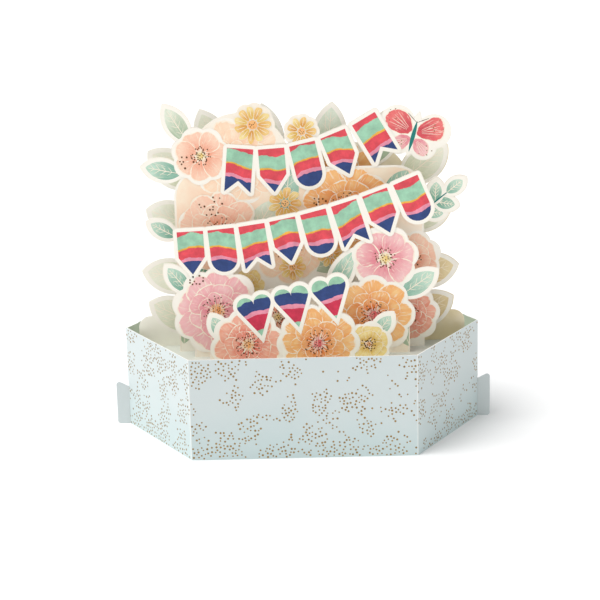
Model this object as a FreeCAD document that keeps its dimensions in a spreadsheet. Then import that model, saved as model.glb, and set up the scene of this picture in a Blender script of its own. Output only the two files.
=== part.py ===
import FreeCAD, Part
import math
import os

import Sketcher

# Pop up card: a low six-sided paper sleeve that stands open, with a shelf inside it, a locking
# rib across its middle and four die-cut sheets that stand on the shelf one behind the other.
# Lengths are in millimetres and angles in degrees. The origin is the middle of the hexagon on
# the surface that the card stands on: +X runs along the front panel, +Y points away from the
# reader and +Z is up.

V = FreeCAD.Vector

SLEEVE_SIZES = {
    "panel_width": 112,         # front and back panel, from corner fold to corner fold
    "side_width": 67,           # each of the four side panels
    "fold_angle": 59,           # side panel to the line across the card
    "wall_height": 52,
    "card_thickness": 0.4,
    "corner_flap": 10,          # front half's flap, glued inside the back half
    "slit_height": 21.5,        # slit in each outer corner fold, open at the bottom
    "slit_clearance": 0.15,
}
SHELF_SIZES = {
    "shelf_height": 44,         # top face of the shelf
    "shelf_gap": 1.2,           # shelf edge to side panel
    "shelf_flap": 12,
    "shelf_flap_inset": 4,      # flap end to corner fold
}
RIB_SIZES = {
    "tab_reach": 6.3,           # how far a locking tab stands out of its corner
    "tab_neck": 20.5,           # tab height where it passes the slit
    "tab_top": 23.6,            # tab height at its outer edge
    "tab_corner": 1.5,
    "rib_inset": 9,             # corner fold to the end of the rib's full height
    "rib_flap": 10,
    "rib_flap_length": 110,
}
SHEET_SIZES = {
    "sheet_thickness": 0.35,
    "first_sheet": 20,          # front sheet behind the outer face of the front panel
    "sheet_spacing": 10,
    "side_clearance": 3,        # lowest part of the back sheet to the side panels
    "foot_depth": 8,
    "foot_width": 20,
    "foot_spread": 27,          # middle of the card to the middle of a foot
    "cut_border": 2,            # bare border left round every printed motif
}
SPACER_SIZES = {
    "spacer_width": 12,
    "spacer_leg": 8,
    "spacer_fit": 0.02,
}
BACKING_SIZES = {
    "front_width": 88,
    "front_height": 11,
    "front_corner": 6,
    "second_width": 108,
    "second_height": 30,
    "second_corner": 12,
    "third_width": 124,
    "third_corner": 14,
    "back_width": 112,
    "back_height": 104,
    "back_corner": 24,
    "skirt_height": 16,         # the back sheet's lowest and widest part
    "skirt_corner": 6,
    "round_backing": 25,        # radius behind the third sheet's upper left flowers
    "round_backing_left": 29,
    "round_backing_drop": 14,   # its middle below the row of flags
    "heart_row_height": 34,     # middle of a row, from the top of the shelf
    "long_row_height": 77,
    "short_row_height": 111,
    "short_row_clear": 17,      # top of the third sheet's backing below the row of flags
}
MOTIF_SIZES = {
    "flag_width": 13,
    "flag_height": 22,
    "flag_gap": 2.6,            # between the printed parts of two flags
    "flag_sag": 5,              # how far the middle of a row of flags hangs below its ends
    "heart_width": 17,
    "heart_height": 21,
    "heart_gap": 2,
    "row_slope": 12.5,          # rise of every row to the right
    "petal_overlap": 1.35,
    "sprig_spread": 48,         # stem to side leaf
}

doc = FreeCAD.newDocument("pop_up_card")
dims = doc.addObject("Spreadsheet::Sheet", "Dims")
all_sizes = {
    **SLEEVE_SIZES, **SHELF_SIZES, **RIB_SIZES, **SHEET_SIZES, **SPACER_SIZES, **BACKING_SIZES,
    **MOTIF_SIZES,
}
for row, (name, value) in enumerate(all_sizes.items(), start=1):
    dims.set(f"A{row}", name)
    dims.set(f"B{row}", str(value))
    dims.setAlias(f"B{row}", name)
doc.recompute()


def size(name):
    """A driving dimension, read from the sheet."""
    return float(dims.get(name))


# Derived lengths, as expressions of the sheet's cells. A corner of the hexagon that is moved
# in by some distance from both of its panels comes from these two functions.
T = "Dims.card_thickness"
HALF_PANEL = "(Dims.panel_width / 2)"
HALF_DEPTH = "(Dims.side_width * sin(Dims.fold_angle))"
HALF_SPAN = f"({HALF_PANEL} + Dims.side_width * cos(Dims.fold_angle))"


def panel_corner(inset):
    """X of the fold between front and side panel, moved in by inset."""
    return f"({HALF_PANEL} - ({inset}) * tan(Dims.fold_angle / 2))"


def outer_corner(inset):
    """X of the outer corner fold, moved in by inset."""
    return f"({HALF_SPAN} - ({inset}) / sin(Dims.fold_angle))"


def both_halves(right):
    """The right half of an outline followed by its mirror image in X."""
    return right + [(f"-({x})", y) for x, y in reversed(right)]


def new_body(label):
    body = doc.addObject("PartDesign::Body", label)
    body.Label = label
    return body


def outline(body, name, role, points, lift=None):
    """A closed sketch of straight runs whose corners are bound to expressions of the sheet."""
    sketch = body.newObject("Sketcher::SketchObject", name)
    plane = [item for item in body.Origin.OriginFeatures if item.Role == role][0]
    sketch.AttachmentSupport = [(plane, "")]
    sketch.MapMode = "FlatFace"
    if lift is not None:
        sketch.setExpression("AttachmentOffset.Base.z", lift)
    places = [(sketch.evalExpression(x), sketch.evalExpression(y)) for x, y in points]
    count = len(places)
    for i, (x, y) in enumerate(places):
        next_x, next_y = places[(i + 1) % count]
        sketch.addGeometry(Part.LineSegment(V(x, y, 0), V(next_x, next_y, 0)), False)
    for i in range(count):
        sketch.addConstraint(Sketcher.Constraint("Coincident", i, 2, (i + 1) % count, 1))
    for i, point in enumerate(points):
        for direction, place, expression in zip(("DistanceX", "DistanceY"), places[i], point):
            index = sketch.addConstraint(Sketcher.Constraint(direction, i, 1, place))
            sketch.setExpression(f"Constraints[{index}]", expression)
    doc.recompute()
    return sketch


def feature(body, kind, name, sketch, length, midplane=False, backwards=False):
    """A pad or pocket of a sketch."""
    item = body.newObject(f"PartDesign::{kind}", name)
    item.Profile = sketch
    item.Midplane = midplane
    item.Reversed = backwards
    item.setExpression("Length", length)
    sketch.Visibility = False
    doc.recompute()
    return item


def cut_slits(body):
    """The slit in each outer corner fold that a locking tab passes through."""
    half_slit = f"({T} / 2 + Dims.slit_clearance)"
    inner = outer_corner(f"4 * {T}")
    outer = f"({HALF_SPAN} + {T})"
    before = body.Shape.Volume
    for side, sign in (("right", ""), ("left", "-")):
        corners = [(inner, f"-{half_slit}"), (outer, f"-{half_slit}"),
                   (outer, half_slit), (inner, half_slit)]
        corners = [(f"{sign}{x}", y) for x, y in corners]
        sketch = outline(body, f"{body.Label}_{side}_slit", "XY_Plane", corners)
        feature(body, "Pocket", f"{side}_slit", sketch, "Dims.slit_height", backwards=True)
    if body.Shape.Volume >= before:
        raise RuntimeError(f"the slits cut nothing from {body.Label}")


def make_sleeve_front():
    """Front panel and its two side panels, with a flap lapped inside the back half at each end."""
    body = new_body("sleeve_front")
    flap_x = "Dims.corner_flap * cos(Dims.fold_angle)"
    flap_y = "Dims.corner_flap * sin(Dims.fold_angle)"
    lean_x = f"({T} * sin(Dims.fold_angle))"
    lean_y = f"({T} * cos(Dims.fold_angle))"
    flap_end = (f"({outer_corner(T)} - {flap_x})", flap_y)
    right = [
        (panel_corner(0), f"-{HALF_DEPTH}"),
        (outer_corner(0), "0"),
        (outer_corner(T), "0"),
        flap_end,
        (f"({flap_end[0]} - {lean_x})", f"({flap_end[1]} - {lean_y})"),
        (outer_corner(f"1.5 * {T}"), f"-{T} / (2 * cos(Dims.fold_angle))"),
        (panel_corner(T), f"-({HALF_DEPTH} - {T})"),
    ]
    sketch = outline(body, "front_plan", "XY_Plane", both_halves(right))
    feature(body, "Pad", "front_wall", sketch, "Dims.wall_height")
    cut_slits(body)
    return body


def make_sleeve_back():
    """Back panel and its two side panels."""
    body = new_body("sleeve_back")
    right = [
        (panel_corner(T), f"({HALF_DEPTH} - {T})"),
        (outer_corner(T), "0"),
        (outer_corner(0), "0"),
        (panel_corner(0), HALF_DEPTH),
    ]
    sketch = outline(body, "back_plan", "XY_Plane", both_halves(right))
    feature(body, "Pad", "back_wall", sketch, "Dims.wall_height")
    cut_slits(body)
    return body


def make_shelf():
    """Six-sided shelf whose front and back flaps are glued down inside the panels."""
    body = new_body("shelf")
    inset = f"({T} + Dims.shelf_gap)"
    depth = f"({HALF_DEPTH} - {T})"
    end = f"({panel_corner(inset)} - Dims.shelf_gap / tan(Dims.fold_angle))"
    right = [(end, f"-{depth}"), (outer_corner(inset), "0"), (end, depth)]
    under = f"Dims.shelf_height - {T}"
    top = outline(body, "shelf_plan", "XY_Plane", both_halves(right), under)
    feature(body, "Pad", "shelf_plate", top, T)
    flap_end = f"({HALF_PANEL} - Dims.shelf_flap_inset)"
    inner = f"({depth} - {T})"
    for name, sign in (("front", "-"), ("back", "")):
        near, far = f"({sign}{inner})", f"({sign}{depth})"
        corners = [(flap_end, near), (flap_end, far), (f"-{flap_end}", far), (f"-{flap_end}", near)]
        sketch = outline(body, f"{name}_flap_plan", "XY_Plane", corners, under)
        feature(body, "Pad", f"{name}_flap", sketch, "Dims.shelf_flap", backwards=True)
    return body


def make_centre_rib():
    """Upright rib from corner to corner under the shelf; its ends are the locking tabs."""
    body = new_body("centre_rib")
    tip = f"({HALF_SPAN} + Dims.tab_reach)"
    rise = f"({HALF_SPAN} - Dims.rib_inset)"
    top = f"(Dims.shelf_height - {T})"
    right = [
        (tip, "0"), (tip, "Dims.tab_top"), (f"({HALF_SPAN} + {T})", "Dims.tab_neck"),
        (rise, "Dims.tab_neck"), (rise, top),
    ]
    sketch = outline(body, "rib_side", "XZ_Plane", both_halves(right))
    feature(body, "Pad", "rib_sheet", sketch, T, midplane=True)
    half_length = "(Dims.rib_flap_length / 2)"
    near, far = f"(-{T} / 2)", "(-Dims.rib_flap)"
    corners = [(half_length, near), (f"-{half_length}", near),
               (f"-{half_length}", far), (half_length, far)]
    flap = outline(body, "rib_flap_plan", "XY_Plane", corners, f"{top} - {T}")
    pad = feature(body, "Pad", "rib_glue_flap", flap, T)
    tab_end = pad.Shape.BoundBox.XMax
    outer_edges = []
    for number, edge in enumerate(pad.Shape.Edges, start=1):
        box = edge.BoundBox
        if math.isclose(abs(box.Center.x), tab_end) and box.ZLength < size("card_thickness") / 2:
            outer_edges.append(f"Edge{number}")
    rounding = body.newObject("PartDesign::Fillet", "tab_rounding")
    rounding.Base = (pad, outer_edges)
    rounding.setExpression("Radius", "Dims.tab_corner")
    doc.recompute()
    return body


def make_spacer(label, gap, x, z):
    """Folded strip that ties a sheet to the next one: a level web with a glued leg at each end."""
    body = new_body(label)
    front = f"(-{HALF_DEPTH} + Dims.first_sheet + {gap} * Dims.sheet_spacing)"
    near = f"({front} + Dims.sheet_thickness + Dims.spacer_fit)"
    far = f"({front} + Dims.sheet_spacing - Dims.spacer_fit)"
    t = "Dims.sheet_thickness"
    top = f"(Dims.shelf_height + {z})"
    under, foot = f"({top} - {t})", f"({top} - Dims.spacer_leg)"
    corners = [
        (near, foot), (f"({near} + {t})", foot), (f"({near} + {t})", under),
        (f"({far} - {t})", under), (f"({far} - {t})", foot), (far, foot), (far, top), (near, top),
    ]
    sketch = outline(body, f"{label}_section", "YZ_Plane", corners)
    feature(body, "Pad", f"{label}_strip", sketch, "Dims.spacer_width", midplane=True)
    body.Placement.Base = V(x, 0, 0)
    doc.recompute()
    return body


# The die-cut sheets are drawn face on, in X and Z with Z from the top of the shelf. A motif is
# a list of flat faces, each already grown by the bare border that is left round the print.

def place(points, x, z, turn):
    """Points turned anticlockwise, as the reader sees them, and moved to x, z."""
    cosine, sine = math.cos(math.radians(turn)), math.sin(math.radians(turn))
    return [(x + u * cosine - w * sine, z + u * sine + w * cosine) for u, w in points]


def disc(x, z, radius):
    return Part.Face(Part.Wire(Part.makeCircle(radius, V(x, 0, z), V(0, -1, 0))))


def patch(points):
    corners = [V(x, 0, z) for x, z in points]
    return Part.Face(Part.makePolygon(corners + corners[:1]))


def grown(face, border):
    """A face grown all round, with rounded corners."""
    return face.makeOffset2D(border).Faces[0]


def panel(width, top, corner, middle=0):
    """Plain backing from the shelf up, with rounded upper corners."""
    left, right = middle - width / 2, middle + width / 2
    return [
        patch([(left, 0), (right, 0), (right, top - corner), (left, top - corner)]),
        patch([(left + corner, 0), (right - corner, 0), (right - corner, top), (left + corner, top)]),
        disc(left + corner, top - corner, corner),
        disc(right - corner, top - corner, corner),
    ]


def backing(name, middle=0, top=None):
    """The plain backing of a sheet, from its named sizes."""
    height = size(f"{name}_height") if top is None else top
    return panel(size(f"{name}_width"), height, size(f"{name}_corner"), middle)


def bloom(x, z, radius, petals, turn=0):
    """Open flower: a ring of round petals that overlap by a set share, and its middle."""
    share = size("petal_overlap") * math.sin(math.pi / petals)
    petal = radius * share / (1 + share)
    border = size("cut_border")
    faces = [disc(x, z, radius - petal + border)]
    for i in range(petals):
        angle = math.radians(turn + 360 * i / petals)
        reach = radius - petal
        faces.append(disc(x + reach * math.cos(angle), z + reach * math.sin(angle), petal + border))
    return faces


def leaf(x, z, length, width, turn):
    """Pointed leaf of two arcs, from its base at x, z."""
    border = size("cut_border")
    base, tip, bulge = -border, length + 1.5 * border, width / 2 + border
    middle = (base + tip) / 2
    ends = place([(base, 0), (middle, -bulge), (tip, 0), (middle, bulge)], x, z, turn)
    start, lower, end, upper = [V(u, 0, w) for u, w in ends]
    arcs = [Part.Arc(start, lower, end).toShape(), Part.Arc(end, upper, start).toShape()]
    return [Part.Face(Part.Wire(arcs))]


def sprig(x, z, length, turn, pairs, leaf_length, leaf_width):
    """Stem with pairs of small leaves and one at its end."""
    spread = size("sprig_spread")
    faces = leaf(x, z, length, leaf_width / 2, turn)
    for i in range(1, pairs + 1):
        (base_x, base_z), = place([(length * i / (pairs + 1), 0)], x, z, turn)
        for side in (-spread, spread):
            faces += leaf(base_x, base_z, leaf_length, leaf_width, turn + side)
    end_x, end_z = place([(length, 0)], x, z, turn)[0]
    return faces + leaf(end_x, end_z, leaf_length, leaf_width, turn)


def flag(x, z, kind, turn):
    """Bunting flag that hangs from its upper edge: pointed, notched or round."""
    half, drop = size("flag_width") / 2, size("flag_height")
    border = size("cut_border")
    if kind == "pointed":
        shape = [(half, 0), (-half, 0), (-half, -0.6 * drop), (0, -drop), (half, -0.6 * drop)]
    elif kind == "notched":
        shape = [(half, 0), (-half, 0), (-half, -drop), (0, -0.74 * drop), (half, -drop)]
    else:
        shape = [(half, 0), (-half, 0), (-half, half - drop), (half, half - drop)]
    faces = [grown(patch(place(shape, x, z, turn)), border)]
    if kind == "round":
        (low_x, low_z), = place([(0, half - drop)], x, z, turn)
        faces.append(disc(low_x, low_z, half + border))
    return faces


def flag_row(x, z, kinds):
    """A garland of flags that rises to the right and sags in its middle."""
    slope = math.radians(size("row_slope"))
    pitch, last = size("flag_width") + size("flag_gap"), len(kinds) - 1
    faces = []
    for i, kind in enumerate(kinds):
        share = i / last
        drop = 4 * size("flag_sag") * share * (1 - share)
        along = pitch * (i - last / 2)
        lean = math.degrees(math.atan(4 * size("flag_sag") * (2 * share - 1) / (pitch * last)))
        faces += flag(x + along * math.cos(slope), z + along * math.sin(slope) - drop,
                      kind, size("row_slope") + lean)
    return faces


def heart_lines(wide, high, border=0):
    """Radius of a heart's two lobes, their spacing from its middle line, and its outline's
    three straight corners: where the sides leave the lobes, and the tip."""
    lobe = wide / 4
    depth = high - lobe
    reach = math.hypot(lobe, depth)
    half_angle = math.atan2(lobe, depth) + math.asin(lobe / reach)
    side = (lobe + (lobe + border) * math.cos(half_angle), -(lobe + border) * math.sin(half_angle))
    tip = (0, -depth - border / math.sin(half_angle))
    return lobe, side, tip


def heart(x, z, wide, high, turn, border):
    """Heart of two round lobes and straight sides, from the middle between its lobes."""
    lobe, side, tip = heart_lines(wide, high, border)
    faces = [disc(*place([(sign * lobe, 0)], x, z, turn)[0], lobe + border) for sign in (-1, 1)]
    corners = [(0, border), (-side[0], side[1]), tip, side]
    return faces + [patch(place(corners, x, z, turn))]


def heart_row(x, z, count):
    """Hearts in a row that rises to the right."""
    slope, border = size("row_slope"), size("cut_border")
    pitch = size("heart_width") + size("heart_gap")
    faces = []
    for i in range(count):
        (heart_x, heart_z), = place([(pitch * (i - (count - 1) / 2), 0)], x, z, slope)
        faces += heart(heart_x, heart_z, size("heart_width"), size("heart_height"), slope, border)
    return faces


def butterfly(x, z, span, turn):
    """Two large and two small round wings on a slim body."""
    border = size("cut_border")
    large, small = 0.21 * span, 0.15 * span
    faces = leaf(*place([(0, -0.3 * span)], x, z, turn)[0], 0.6 * span, 0.1 * span, turn + 90)
    for side in (-1, 1):
        (upper, lower) = place(
            [(side * (0.5 * span - large), 0.13 * span), (side * 1.3 * small, -0.14 * span)], x, z, turn)
        faces.append(disc(*upper, large + border))
        faces.append(disc(*lower, small + border))
    return faces


def sheet_front_motifs():
    """Three hearts over two open flowers and a small one."""
    faces = backing("front", middle=-2)
    faces += bloom(-27, 9, 17, 8, turn=10)
    faces += bloom(8, 9, 19, 10)
    faces += bloom(33, 8, 10, 6, turn=15)
    faces += leaf(-38, 12, 13, 7, 118)
    faces += leaf(36, 12, 13, 7, 52)
    return faces + heart_row(-5, size("heart_row_height"), 3)


def sheet_second_motifs():
    """Eight flags over large flowers and leaves, with openings between them. What the flags
    touch keeps its place below them."""
    row = size("long_row_height")
    faces = backing("second")
    faces += bloom(-42, row - 53, 21, 9, turn=5)
    faces += bloom(-12, 20, 13, 7)
    faces += bloom(36, 20, 19, 8)
    faces += bloom(42, row - 28, 15, 7, turn=12)
    faces += leaf(50, row - 47, 20, 10, 35)
    faces += leaf(-56, row - 43, 16, 8, 128)
    faces += leaf(14, row - 47, 26, 9, 62)
    kinds = ["pointed", "round", "notched", "pointed", "round", "notched", "pointed", "round"]
    return faces + flag_row(-1, row, kinds)


def sheet_third_motifs():
    """Five flags, with a flower and leaves at the upper left, a butterfly at the upper right and
    two flowers that break the right edge. The backing and all that is near the flags keep their
    place from them, and what breaks the backing's edges keeps its place from those."""
    row = size("short_row_height")
    edge = size("third_width") / 2
    faces = backing("third", top=row - size("short_row_clear"))
    round_z = row - size("round_backing_drop")
    faces.append(disc(-size("round_backing_left"), round_z, size("round_backing")))
    faces += bloom(-48, row - 10, 13, 7, turn=8)
    faces += leaf(-58, row - 19, 18, 9, 168)
    faces += leaf(-54, row - 3, 20, 9, 122)
    faces += bloom(-22, row + 5, 9, 9)
    faces += bloom(2, row + 1, 7, 9)
    faces += bloom(edge - 8, 17, 14, 8, turn=6)
    faces += bloom(edge - 6, 46, 13, 7, turn=20)
    faces += sprig(edge - 6, row - 45, 22, 38, 2, 10, 6)
    faces += leaf(-edge, 60, 14, 7, 150)
    faces += butterfly(57, row - 2, 32, -16)
    kinds = ["notched", "pointed", "round", "pointed", "notched"]
    return faces + flag_row(2, row, kinds)


def sheet_back_motifs():
    """Pale leaves that fan out behind everything else."""
    behind = size("first_sheet") + 3 * size("sheet_spacing")
    room = size("panel_width") + 2 * behind / math.tan(math.radians(size("fold_angle")))
    faces = panel(room - 2 * size("side_clearance"), size("skirt_height"), size("skirt_corner"))
    faces += backing("back")
    side, top = size("back_width") / 2 - 4, size("back_height") - 12
    for height, length, turn in ((10, 26, 28), (34, 26, 12), (62, 24, 22), (84, 26, 38)):
        faces += leaf(side, height, length, 15, turn)
        faces += leaf(-side, height, length, 15, 180 - turn)
    for x, turn in ((-36, 112), (-14, 96), (14, 84), (36, 66)):
        faces += leaf(x, top, 30, 14, turn)
    return faces


def make_sheet(label, place_in_row, faces):
    """A die-cut sheet, cut off level at the shelf, with two feet that fold back on the shelf."""
    flat = faces[0].fuse(faces[1:]).removeSplitter()
    if len(flat.Faces) != 1:
        raise RuntimeError(f"{label} falls into {len(flat.Faces)} pieces")
    box = flat.BoundBox
    above = patch([(box.XMin, 0), (box.XMax, 0), (box.XMax, box.ZMax), (box.XMin, box.ZMax)])
    thickness = size("sheet_thickness")
    solid = flat.common(above).Faces[0].extrude(V(0, thickness, 0))
    for side in (-1, 1):
        foot = Part.makeBox(size("foot_width"), size("foot_depth"), thickness)
        foot.translate(V(side * size("foot_spread") - size("foot_width") / 2, 0, 0))
        solid = solid.fuse(foot)
    sheet = doc.addObject("Part::Feature", label)
    sheet.Label = label
    sheet.Shape = solid.removeSplitter().Solids[0]
    depth = size("side_width") * math.sin(math.radians(size("fold_angle")))
    y = size("first_sheet") + place_in_row * size("sheet_spacing") - depth
    sheet.Placement = FreeCAD.Placement(V(0, y, size("shelf_height")), FreeCAD.Rotation())
    return sheet


nodes = [make_sleeve_front(), make_sleeve_back(), make_shelf(), make_centre_rib()]
sheet_motifs = {
    "sheet_front": sheet_front_motifs,
    "sheet_second": sheet_second_motifs,
    "sheet_third": sheet_third_motifs,
    "sheet_back": sheet_back_motifs,
}
for number, (label, motifs) in enumerate(sheet_motifs.items()):
    nodes.append(make_sheet(label, number, motifs()))

# Each gap between sheets has a strip at the left and one at the right: X, and Z above the shelf.
spacer_places = (((-24, 12), (22, 12)), ((-42, 30), (40, 30)), ((-40, 66), (40, 66)))
for gap, places in enumerate(spacer_places):
    for side, (x, z) in zip(("left", "right"), places):
        nodes.append(make_spacer(f"spacer_{gap + 1}_{side}", gap, x, z))

doc.recompute()
for item in doc.Objects:
    if "Invalid" in item.State or "Error" in item.State:
        raise RuntimeError(f"{item.Name} failed: {item.State}")

os.makedirs("parts", exist_ok=True)
for node in nodes:
    if node.Shape.isNull() or not node.Shape.isValid():
        raise RuntimeError(f"{node.Label} has no valid shape")
    if len(node.Shape.Solids) != 1:
        raise RuntimeError(f"{node.Label} has {len(node.Shape.Solids)} solids")
    node.Shape.exportStep(f"parts/{node.Label}.step")
    box = node.Shape.BoundBox
    print(f"{node.Label}: {box.XLength:.1f} x {box.YLength:.1f} x {box.ZLength:.1f} mm")
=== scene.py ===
"""Looks of the pop up card: printed paper, gold foil dots, camera, floor and light."""
import math
import random

import bmesh
import bpy
from mathutils import Matrix, Vector


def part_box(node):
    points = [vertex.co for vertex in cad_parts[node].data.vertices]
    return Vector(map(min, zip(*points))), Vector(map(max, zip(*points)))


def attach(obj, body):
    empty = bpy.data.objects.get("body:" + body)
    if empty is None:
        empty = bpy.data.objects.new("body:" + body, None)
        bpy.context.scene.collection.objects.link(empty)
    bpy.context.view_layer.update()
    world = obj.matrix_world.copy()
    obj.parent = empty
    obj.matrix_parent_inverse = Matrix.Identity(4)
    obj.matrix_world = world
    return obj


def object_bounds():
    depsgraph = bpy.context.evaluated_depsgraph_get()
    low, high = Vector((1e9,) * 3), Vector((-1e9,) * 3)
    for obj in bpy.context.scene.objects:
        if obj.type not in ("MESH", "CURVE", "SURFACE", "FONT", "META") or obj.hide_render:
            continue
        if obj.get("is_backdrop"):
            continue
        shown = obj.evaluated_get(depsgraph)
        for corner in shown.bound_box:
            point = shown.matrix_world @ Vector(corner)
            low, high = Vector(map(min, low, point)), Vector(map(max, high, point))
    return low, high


MM = 0.001
FOLD_ANGLE = math.radians(59)     # side panel to the line across the card
CUT_BORDER = 2.0                  # bare border round every printed motif, in millimetres
LAYER = 0.012                     # height of one printed layer over the next, in millimetres
PLATE_SHARE = 0.8                 # a plate's thickness, as a share of its layer's height
SHELF_CLEAR = 0.15                # print stops this far above the shelf

CAMERA_PLACE = (-0.0006646, -1.01598, 0.36161)
CAMERA_PITCH = math.radians(16.296)
CAMERA_ROLL = math.radians(-1.3196)
CAMERA_LENS = 123.9
CAMERA_SENSOR = 36.0              # its width, in millimetres like the lens
FLOOR_REACH = 8.0
AMBIENT = 0.65                    # brightness of the surroundings, 1 where the camera sees them
SUN_STRENGTH = 2.25
SUN_FROM = (-0.52, -0.13, 0.85)
SUN_WIDTH = math.radians(44)      # how wide the light looks, which softens its shadows

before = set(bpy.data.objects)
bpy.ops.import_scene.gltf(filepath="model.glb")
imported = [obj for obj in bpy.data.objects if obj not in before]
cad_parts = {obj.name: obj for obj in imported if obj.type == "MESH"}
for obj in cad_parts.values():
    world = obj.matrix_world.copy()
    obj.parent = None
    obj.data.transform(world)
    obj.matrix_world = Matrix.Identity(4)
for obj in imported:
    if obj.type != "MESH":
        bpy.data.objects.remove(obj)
cad_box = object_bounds()


# Colours


def paint(red, green, blue):
    """A colour as it is seen on screen, 0 to 255, as the linear values that a shader takes."""
    linear = []
    for value in (red, green, blue):
        value /= 255
        linear.append(value / 12.92 if value <= 0.04045 else ((value + 0.055) / 1.055) ** 2.4)
    return (*linear, 1.0)


CREAM = paint(253, 248, 237)
PAPER_WHITE = paint(246, 246, 242)
BARE_LINE = paint(253, 240, 220)
NAVY = paint(50, 72, 128)
MINT = paint(160, 208, 178)
CORAL = paint(230, 80, 92)
CRIMSON = paint(212, 54, 84)
PINK = paint(236, 150, 172)
AMBER = paint(240, 182, 72)
TEAL = paint(30, 125, 118)

# Light, middle and deep tone of each wash.
WASHES = {
    "orange": (paint(253, 208, 146), paint(247, 164, 84), paint(224, 106, 34)),
    "coral": (paint(252, 196, 172), paint(243, 146, 120), paint(222, 92, 78)),
    "peach": (paint(254, 220, 196), paint(250, 190, 160), paint(241, 152, 120)),
    "blush": (paint(255, 232, 206), paint(253, 212, 176), paint(246, 184, 142)),
    "pink": (paint(250, 206, 204), paint(243, 170, 174), paint(226, 122, 138)),
    "yellow": (paint(251, 232, 168), paint(242, 204, 110), paint(218, 168, 62)),
    "mint": (paint(206, 230, 212), paint(168, 208, 184), paint(118, 170, 150)),
    "sage": (paint(232, 239, 221), paint(211, 222, 199), paint(174, 193, 164)),
    "pale": (paint(250, 249, 234), paint(241, 241, 220), paint(219, 222, 193)),
    "straw": (paint(244, 226, 182), paint(230, 204, 152), paint(200, 168, 112)),
    "ochre": (paint(248, 214, 140), paint(238, 184, 96), paint(214, 146, 58)),
    "berry": (paint(244, 132, 128), paint(228, 84, 92), paint(196, 52, 74)),
}


# Shader building


def node(tree, kind, inputs=None, **settings):
    """A node with its settings and its inputs, each a value or a socket to link from."""
    made = tree.nodes.new(kind)
    for name, value in settings.items():
        setattr(made, name, value)
    for name, value in (inputs or {}).items():
        if isinstance(value, bpy.types.NodeSocket):
            tree.links.new(value, made.inputs[name])
        else:
            made.inputs[name].default_value = value
    return made


def maths(tree, operation, first, second=0.0, third=0.0):
    made = node(tree, "ShaderNodeMath", {0: first, 1: second, 2: third}, operation=operation)
    return made.outputs[0]


def blend(tree, factor, first, second, kind="MIX"):
    made = node(tree, "ShaderNodeMix", data_type="RGBA", blend_type=kind)
    for index, value in ((0, factor), (6, first), (7, second)):
        if isinstance(value, bpy.types.NodeSocket):
            tree.links.new(value, made.inputs[index])
        else:
            made.inputs[index].default_value = value
    return made.outputs[2]


def noise(tree, vector, scale, detail=3.0, roughness=0.55):
    made = node(tree, "ShaderNodeTexNoise",
                {"Vector": vector, "Scale": scale, "Detail": detail, "Roughness": roughness})
    return made.outputs["Fac"]


def grey(tree, value):
    """A grey of one value, to multiply a colour by."""
    return node(tree, "ShaderNodeCombineColor", {"Red": value, "Green": value, "Blue": value}).outputs[0]


def rgb(tree, colour):
    made = node(tree, "ShaderNodeRGB")
    made.outputs[0].default_value = colour
    return made.outputs[0]


def plain(colour):
    return lambda tree, place: rgb(tree, colour)


def spread(tree, value, low, high, to_low=0.0, to_high=1.0):
    """A value taken smoothly from one range to another."""
    made = node(tree, "ShaderNodeMapRange",
                {"Value": value, "From Min": low, "From Max": high,
                 "To Min": to_low, "To Max": to_high}, interpolation_type="SMOOTHSTEP")
    return made.outputs["Result"]


def new_group(name, inputs, outputs):
    """An empty shader group with its sockets: (name, type, default) in, (name, type) out."""
    group = bpy.data.node_groups.new(name, "ShaderNodeTree")
    for label, kind, default in inputs:
        socket = group.interface.new_socket(label, in_out="INPUT", socket_type=kind)
        if default is not None:
            socket.default_value = default
    for label, kind in outputs:
        group.interface.new_socket(label, in_out="OUTPUT", socket_type=kind)
    entry = group.nodes.new("NodeGroupInput").outputs
    leave = group.nodes.new("NodeGroupOutput").inputs
    return group, entry, leave


COLOR, NUMBER, VECTOR = "NodeSocketColor", "NodeSocketFloat", "NodeSocketVector"


def paper_grain_group():
    """Fibres and faint mottling of card: a height, and a factor near 1 that varies its colour."""
    group, given, result = new_group(
        "paper grain", [("Place", VECTOR, None), ("Mottle", NUMBER, 0.03)],
        [("Height", NUMBER), ("Shade", NUMBER)])
    fibres = noise(group, given["Place"], 1900.0, 4.0, 0.62)
    felt = noise(group, given["Place"], 260.0, 2.0)
    height = maths(group, "MULTIPLY_ADD", felt, 0.5, fibres)
    mottle = noise(group, given["Place"], 90.0, 3.0)
    swing = maths(group, "SUBTRACT", mottle, 0.5)
    shade = maths(group, "MULTIPLY_ADD", swing, given["Mottle"], 1.0)
    group.links.new(height, result["Height"])
    group.links.new(shade, result["Shade"])
    return group


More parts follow.
